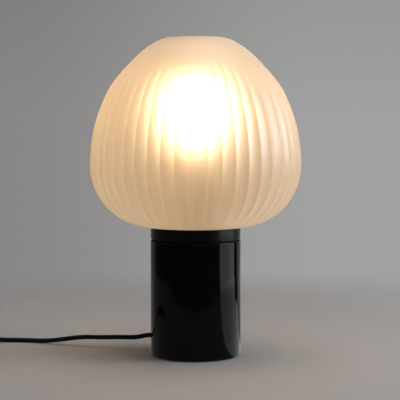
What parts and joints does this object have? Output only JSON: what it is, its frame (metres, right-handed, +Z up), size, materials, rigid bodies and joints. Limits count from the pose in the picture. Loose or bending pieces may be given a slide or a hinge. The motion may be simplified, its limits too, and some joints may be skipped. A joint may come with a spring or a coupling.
{
  "type": "mushroom table lamp",
  "caption": "Table lamp with a fluted frosted glass mushroom shade, open at its top, on a polished black cylinder; cloth cord with in-line switch and flat plug.",
  "frame": {"origin": "centre of the base where it stands on the table", "axes": "+Z up along the lamp's axis, front towards -Y, cord leaving low towards -X and a little towards +Y"},
  "size_m": [0.5303, 0.2658, 0.4006],
  "materials": {
    "stone": "polished black",
    "foot_pad": "dense black felt",
    "dark_plastic": "fine satin",
    "steel": "zinc plated",
    "dark_metal": "matt black",
    "black_metal": "smooth semi-gloss black",
    "clear_rubber": "translucent silicone",
    "frosted_glass": "satin etched, warm white",
    "porcelain": "glazed white ceramic",
    "brass": "plain",
    "opal_glass": "opal white",
    "nickel": "nickel plated",
    "black_glass": "black vitrite",
    "solder": "soft solder",
    "board": "circuit board",
    "clear_glass": "clear",
    "phosphor": "silicone over small diodes",
    "black_plastic": "fine satin",
    "cord_cloth": "woven black textile braid",
    "brown_wire": "insulated core",
    "blue_wire": "insulated core",
    "rocker_plastic": "smooth",
    "boot_rubber": "matt",
    "pin_metal": "nickel plated brass",
    "tie_band": "hook and loop band"
  },
  "bodies": {
    "lamp": {"stone_body": "stone", "base_pad": "foot_pad", "recess_cover": "dark_plastic", "cover_screws": "steel", "gap_spacer": "dark_metal", "collar_cup": "black_metal", "shade_gasket": "clear_rubber", "threaded_tube": "steel", "tube_nut": "steel", "anchor_plate": "steel", "sleeve_washer": "steel", "holder_sleeve": "black_metal", "holder_cap": "black_metal", "holder_skirt": "black_metal", "holder_insert": "porcelain", "thread_shell": "brass", "centre_contact": "brass", "side_contact": "brass", "terminal_screws": "brass", "cord_grommet": "black_plastic", "cord_grip": "dark_plastic", "grip_screws": "steel", "cord_inner": "cord_cloth", "wire_live": "brown_wire", "wire_neutral": "blue_wire", "switch_base": "black_plastic", "switch_cover": "black_plastic", "switch_screws": "steel", "switch_contacts": "brass", "plug_body": "black_plastic", "plug_boot": "boot_rubber", "plug_pins": "pin_metal", "pin_sleeves": "dark_plastic", "cord_run": "cord_cloth", "cord_link": "cord_cloth", "cord_tail": "cord_cloth", "cord_coil": "cord_cloth", "coil_tie": "tie_band"},
    "shade": {"glass_shade": "frosted_glass"},
    "bulb": {"bulb_glass": "opal_glass", "bulb_cap": "nickel", "bulb_insulator": "black_glass", "bulb_contact": "solder", "bulb_driver": "board", "bulb_stem": "clear_glass", "bulb_filaments": "phosphor"},
    "rocker": {"switch_rocker": "rocker_plastic"}
  },
  "joints": [
    {"name": "shade_lift", "type": "slide", "parent": "lamp", "child": "shade", "axis": [0, 0, 1], "range_m": [0, 0.19]},
    {"name": "bulb_turn", "type": "hinge", "parent": "lamp", "child": "bulb", "pos_m": [0, 0, 0.25], "axis": [0, 0, 1], "range_deg": [0, 1080]},
    {"name": "switch_rock", "type": "hinge", "parent": "lamp", "child": "rocker", "pos_m": [-0.323, 0.0855, 0.012], "axis": [0, 1, 0], "range_deg": [-18, 0]}
  ]
}
